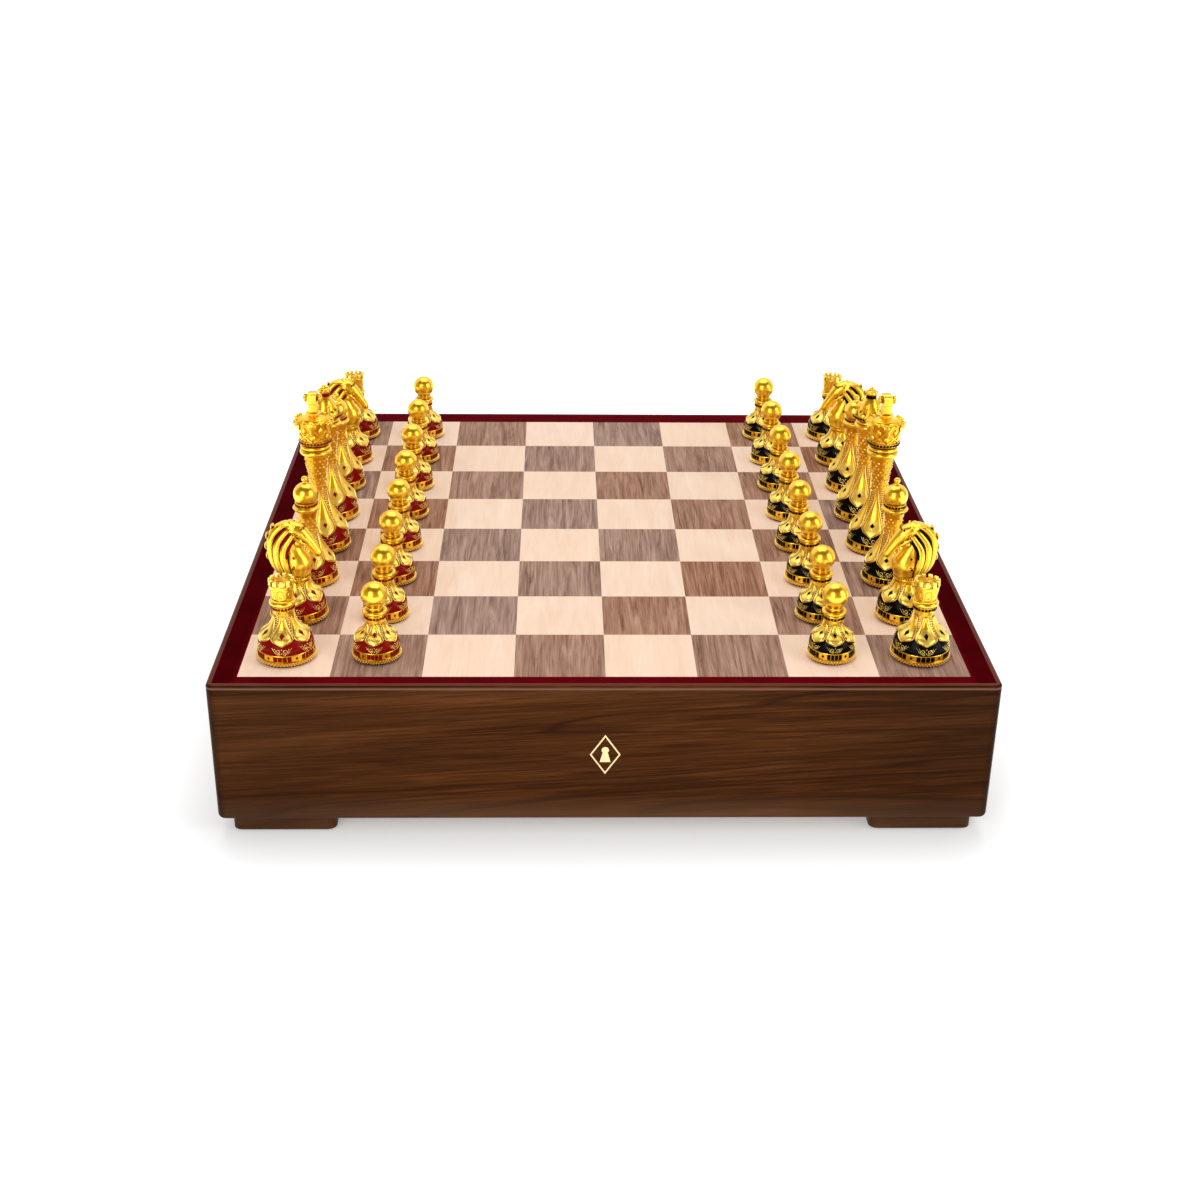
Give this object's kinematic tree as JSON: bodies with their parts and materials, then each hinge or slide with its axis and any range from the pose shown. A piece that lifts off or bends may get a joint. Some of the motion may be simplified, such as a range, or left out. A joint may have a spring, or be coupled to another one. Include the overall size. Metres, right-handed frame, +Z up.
{
  "type": "chess board game box",
  "caption": "Walnut game box whose lid is an inlaid chess board, with a storage drawer at each end and gilt, enamelled chess pieces standing on their squares.",
  "frame": {"origin": "under the middle of the case, on the surface that the foot pads stand on", "axes": "+Z up; +X and -X point to the two players, out through the drawer fronts; -Y is the plain front with the emblem"},
  "size_m": [0.432, 0.43, 0.1984],
  "materials": {
    "walnut_case": "lacquered walnut, figured, gloss",
    "walnut_veneer": "satin walnut veneer",
    "maple_veneer": "satin maple veneer",
    "maroon_lacquer": "deep red high gloss lacquer",
    "plywood": "sanded, clear sealed",
    "beech": "waxed",
    "drawer_velvet": "short pile",
    "foot_felt": "pressed felt",
    "screw_steel": "zinc plated",
    "magnet_steel": "nickel plated",
    "inlay_brass": "polished, flush",
    "gilt_red_enamel": "gold plated with deep red enamel",
    "gilt_black_enamel": "gold plated with black enamel"
  },
  "bodies": {
    "case": {"front_panel": "walnut_case", "back_panel": "walnut_case", "left_end_wall": "walnut_case", "right_end_wall": "walnut_case", "base_panel": "plywood", "board_core": "plywood", "light_squares": "maple_veneer", "dark_squares": "walnut_veneer", "border_strips": "maroon_lacquer", "centre_partition": "plywood", "drawer_runners": "beech", "catch_magnets": "magnet_steel", "feet": "walnut_case", "foot_pads": "foot_felt", "foot_screws": "screw_steel", "emblem_inlay": "inlay_brass"},
    "left_drawer": {"left_drawer_front": "walnut_case", "left_drawer_sides": "beech", "left_drawer_back": "beech", "left_drawer_bottom": "plywood", "left_drawer_lining": "drawer_velvet", "left_drawer_strikes": "screw_steel"},
    "right_drawer": {"right_drawer_front": "walnut_case", "right_drawer_sides": "beech", "right_drawer_back": "beech", "right_drawer_bottom": "plywood", "right_drawer_lining": "drawer_velvet", "right_drawer_strikes": "screw_steel"},
    "red_front_rook_body": {"red_front_rook": "gilt_red_enamel"},
    "red_front_knight_body": {"red_front_knight": "gilt_red_enamel"},
    "red_front_bishop_body": {"red_front_bishop": "gilt_red_enamel"},
    "red_king_body": {"red_king": "gilt_red_enamel"},
    "red_queen_body": {"red_queen": "gilt_red_enamel"},
    "red_back_bishop_body": {"red_back_bishop": "gilt_red_enamel"},
    "red_back_knight_body": {"red_back_knight": "gilt_red_enamel"},
    "red_back_rook_body": {"red_back_rook": "gilt_red_enamel"},
    "red_pawn_1_body": {"red_pawn_1": "gilt_red_enamel"},
    "red_pawn_2_body": {"red_pawn_2": "gilt_red_enamel"},
    "red_pawn_3_body": {"red_pawn_3": "gilt_red_enamel"},
    "red_pawn_4_body": {"red_pawn_4": "gilt_red_enamel"},
    "red_pawn_5_body": {"red_pawn_5": "gilt_red_enamel"},
    "red_pawn_6_body": {"red_pawn_6": "gilt_red_enamel"},
    "red_pawn_7_body": {"red_pawn_7": "gilt_red_enamel"},
    "red_pawn_8_body": {"red_pawn_8": "gilt_red_enamel"},
    "black_front_rook_body": {"black_front_rook": "gilt_black_enamel"},
    "black_front_knight_body": {"black_front_knight": "gilt_black_enamel"},
    "black_front_bishop_body": {"black_front_bishop": "gilt_black_enamel"},
    "black_king_body": {"black_king": "gilt_black_enamel"},
    "black_queen_body": {"black_queen": "gilt_black_enamel"},
    "black_back_bishop_body": {"black_back_bishop": "gilt_black_enamel"},
    "black_back_knight_body": {"black_back_knight": "gilt_black_enamel"},
    "black_back_rook_body": {"black_back_rook": "gilt_black_enamel"},
    "black_pawn_1_body": {"black_pawn_1": "gilt_black_enamel"},
    "black_pawn_2_body": {"black_pawn_2": "gilt_black_enamel"},
    "black_pawn_3_body": {"black_pawn_3": "gilt_black_enamel"},
    "black_pawn_4_body": {"black_pawn_4": "gilt_black_enamel"},
    "black_pawn_5_body": {"black_pawn_5": "gilt_black_enamel"},
    "black_pawn_6_body": {"black_pawn_6": "gilt_black_enamel"},
    "black_pawn_7_body": {"black_pawn_7": "gilt_black_enamel"},
    "black_pawn_8_body": {"black_pawn_8": "gilt_black_enamel"}
  },
  "joints": [
    {"name": "drawer_left_slide", "type": "slide", "parent": "case", "child": "left_drawer", "axis": [-1, 0, 0], "range_m": [0, 0.165]},
    {"name": "drawer_right_slide", "type": "slide", "parent": "case", "child": "right_drawer", "axis": [1, 0, 0], "range_m": [0, 0.165]},
    {"name": "lift_red_front_rook", "type": "slide", "parent": "case", "child": "red_front_rook_body", "axis": [0, 0, 1], "range_m": [0, 0.11]},
    {"name": "lift_red_front_knight", "type": "slide", "parent": "case", "child": "red_front_knight_body", "axis": [0, 0, 1], "range_m": [0, 0.11]},
    {"name": "lift_red_front_bishop", "type": "slide", "parent": "case", "child": "red_front_bishop_body", "axis": [0, 0, 1], "range_m": [0, 0.11]},
    {"name": "lift_red_king", "type": "slide", "parent": "case", "child": "red_king_body", "axis": [0, 0, 1], "range_m": [0, 0.11]},
    {"name": "lift_red_queen", "type": "slide", "parent": "case", "child": "red_queen_body", "axis": [0, 0, 1], "range_m": [0, 0.11]},
    {"name": "lift_red_back_bishop", "type": "slide", "parent": "case", "child": "red_back_bishop_body", "axis": [0, 0, 1], "range_m": [0, 0.11]},
    {"name": "lift_red_back_knight", "type": "slide", "parent": "case", "child": "red_back_knight_body", "axis": [0, 0, 1], "range_m": [0, 0.11]},
    {"name": "lift_red_back_rook", "type": "slide", "parent": "case", "child": "red_back_rook_body", "axis": [0, 0, 1], "range_m": [0, 0.11]},
    {"name": "lift_red_pawn_1", "type": "slide", "parent": "case", "child": "red_pawn_1_body", "axis": [0, 0, 1], "range_m": [0, 0.11]},
    {"name": "lift_red_pawn_2", "type": "slide", "parent": "case", "child": "red_pawn_2_body", "axis": [0, 0, 1], "range_m": [0, 0.11]},
    {"name": "lift_red_pawn_3", "type": "slide", "parent": "case", "child": "red_pawn_3_body", "axis": [0, 0, 1], "range_m": [0, 0.11]},
    {"name": "lift_red_pawn_4", "type": "slide", "parent": "case", "child": "red_pawn_4_body", "axis": [0, 0, 1], "range_m": [0, 0.11]},
    {"name": "lift_red_pawn_5", "type": "slide", "parent": "case", "child": "red_pawn_5_body", "axis": [0, 0, 1], "range_m": [0, 0.11]},
    {"name": "lift_red_pawn_6", "type": "slide", "parent": "case", "child": "red_pawn_6_body", "axis": [0, 0, 1], "range_m": [0, 0.11]},
    {"name": "lift_red_pawn_7", "type": "slide", "parent": "case", "child": "red_pawn_7_body", "axis": [0, 0, 1], "range_m": [0, 0.11]},
    {"name": "lift_red_pawn_8", "type": "slide", "parent": "case", "child": "red_pawn_8_body", "axis": [0, 0, 1], "range_m": [0, 0.11]},
    {"name": "lift_black_front_rook", "type": "slide", "parent": "case", "child": "black_front_rook_body", "axis": [0, 0, 1], "range_m": [0, 0.11]},
    {"name": "lift_black_front_knight", "type": "slide", "parent": "case", "child": "black_front_knight_body", "axis": [0, 0, 1], "range_m": [0, 0.11]},
    {"name": "lift_black_front_bishop", "type": "slide", "parent": "case", "child": "black_front_bishop_body", "axis": [0, 0, 1], "range_m": [0, 0.11]},
    {"name": "lift_black_king", "type": "slide", "parent": "case", "child": "black_king_body", "axis": [0, 0, 1], "range_m": [0, 0.11]},
    {"name": "lift_black_queen", "type": "slide", "parent": "case", "child": "black_queen_body", "axis": [0, 0, 1], "range_m": [0, 0.11]},
    {"name": "lift_black_back_bishop", "type": "slide", "parent": "case", "child": "black_back_bishop_body", "axis": [0, 0, 1], "range_m": [0, 0.11]},
    {"name": "lift_black_back_knight", "type": "slide", "parent": "case", "child": "black_back_knight_body", "axis": [0, 0, 1], "range_m": [0, 0.11]},
    {"name": "lift_black_back_rook", "type": "slide", "parent": "case", "child": "black_back_rook_body", "axis": [0, 0, 1], "range_m": [0, 0.11]},
    {"name": "lift_black_pawn_1", "type": "slide", "parent": "case", "child": "black_pawn_1_body", "axis": [0, 0, 1], "range_m": [0, 0.11]},
    {"name": "lift_black_pawn_2", "type": "slide", "parent": "case", "child": "black_pawn_2_body", "axis": [0, 0, 1], "range_m": [0, 0.11]},
    {"name": "lift_black_pawn_3", "type": "slide", "parent": "case", "child": "black_pawn_3_body", "axis": [0, 0, 1], "range_m": [0, 0.11]},
    {"name": "lift_black_pawn_4", "type": "slide", "parent": "case", "child": "black_pawn_4_body", "axis": [0, 0, 1], "range_m": [0, 0.11]},
    {"name": "lift_black_pawn_5", "type": "slide", "parent": "case", "child": "black_pawn_5_body", "axis": [0, 0, 1], "range_m": [0, 0.11]},
    {"name": "lift_black_pawn_6", "type": "slide", "parent": "case", "child": "black_pawn_6_body", "axis": [0, 0, 1], "range_m": [0, 0.11]},
    {"name": "lift_black_pawn_7", "type": "slide", "parent": "case", "child": "black_pawn_7_body", "axis": [0, 0, 1], "range_m": [0, 0.11]},
    {"name": "lift_black_pawn_8", "type": "slide", "parent": "case", "child": "black_pawn_8_body", "axis": [0, 0, 1], "range_m": [0, 0.11]}
  ]
}
